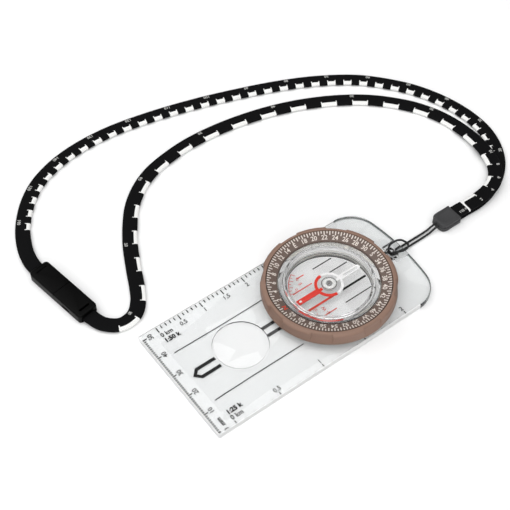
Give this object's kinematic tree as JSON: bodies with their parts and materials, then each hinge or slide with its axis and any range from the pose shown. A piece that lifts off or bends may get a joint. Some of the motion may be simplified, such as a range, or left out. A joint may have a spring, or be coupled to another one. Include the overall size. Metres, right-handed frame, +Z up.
{
  "type": "baseplate compass",
  "caption": "Clear baseplate compass with a turning dial, floating needle, magnifier and a printed neck lanyard with a breakaway buckle.",
  "frame": {"origin": "centre of the baseplate's underside, on the surface it lies on; the lanyard lies on the same surface", "axes": "+Z up out of the dial, -Y along the direction of travel arrow, +Y towards the cord slot"},
  "size_m": [0.1552, 0.2016, 0.01],
  "materials": {
    "clear_acrylic": "gloss",
    "clear_liquid": "gloss",
    "bezel_plastic": "satin",
    "dial_plastic": "satin",
    "nylon": "satin",
    "red_needle": "satin",
    "white_needle": "satin",
    "needle_hub_plastic": "gloss",
    "magnet_steel": "satin",
    "pivot_steel": "polished",
    "jewel": "polished",
    "black_cord": "matte",
    "printed_strap": "matte",
    "clamp_plastic": "matte",
    "buckle_plastic": "satin"
  },
  "bodies": {
    "baseplate": {"baseplate": "clear_acrylic", "loop_cord": "black_cord", "cord_clamp_base": "clamp_plastic", "cord_clamp_top": "clamp_plastic", "strap_50k": "printed_strap", "strap_25k": "printed_strap", "buckle_socket": "buckle_plastic"},
    "housing": {"capsule_base": "clear_acrylic", "capsule_lid": "clear_acrylic", "damping_liquid": "clear_liquid", "dial_ring": "dial_plastic", "bezel_grip": "bezel_plastic", "retaining_ring": "nylon", "filler_plug": "nylon", "needle_pivot": "pivot_steel"},
    "needle": {"needle_north": "red_needle", "needle_south": "white_needle", "needle_hub": "needle_hub_plastic", "needle_magnet": "magnet_steel", "needle_jewel": "jewel"},
    "buckle_plug": {"buckle_plug": "buckle_plastic"}
  },
  "joints": [
    {"name": "housing_turn", "type": "hinge", "parent": "baseplate", "child": "housing", "pos_m": [0, 0.0169, 0], "axis": [0, 0, 1], "continuous": true},
    {"name": "needle_swing", "type": "hinge", "parent": "housing", "child": "needle", "pos_m": [0, 0.0169, 0.0055], "axis": [0, 0, 1], "continuous": true},
    {"name": "buckle_release", "type": "slide", "parent": "baseplate", "child": "buckle_plug", "axis": [-0.9888, -0.1495, 0], "range_m": [0, 0.014], "deforming": ["strap_50k"]}
  ]
}
